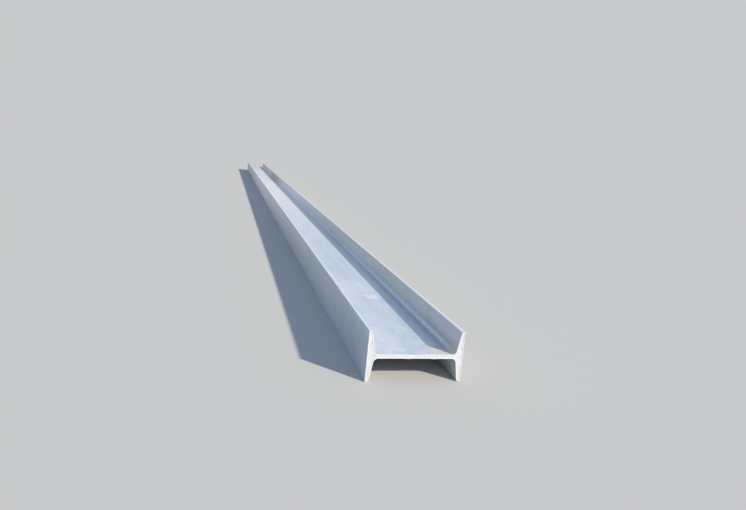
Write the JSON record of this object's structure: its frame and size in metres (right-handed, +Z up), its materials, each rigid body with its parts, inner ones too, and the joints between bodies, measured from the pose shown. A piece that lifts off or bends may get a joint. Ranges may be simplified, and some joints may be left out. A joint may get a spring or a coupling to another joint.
{
  "type": "i-beam",
  "caption": "Length of rolled steel I-beam with tapered flanges and rounded flange edges, hot-dip galvanised, lying with its web level.",
  "frame": {"origin": "under the middle of the beam, at the level of the two flange edges it lies on", "axes": "+Y along the beam, +X across the section's depth from one flange to the other, +Z up, square to the web"},
  "size_m": [0.18, 6, 0.094],
  "materials": {
    "galvanised_steel": "hot-dip galvanised, dull silver-blue with cloudy zinc marks"
  },
  "bodies": {
    "root": {"i_beam": "galvanised_steel"}
  },
  "joints": []
}
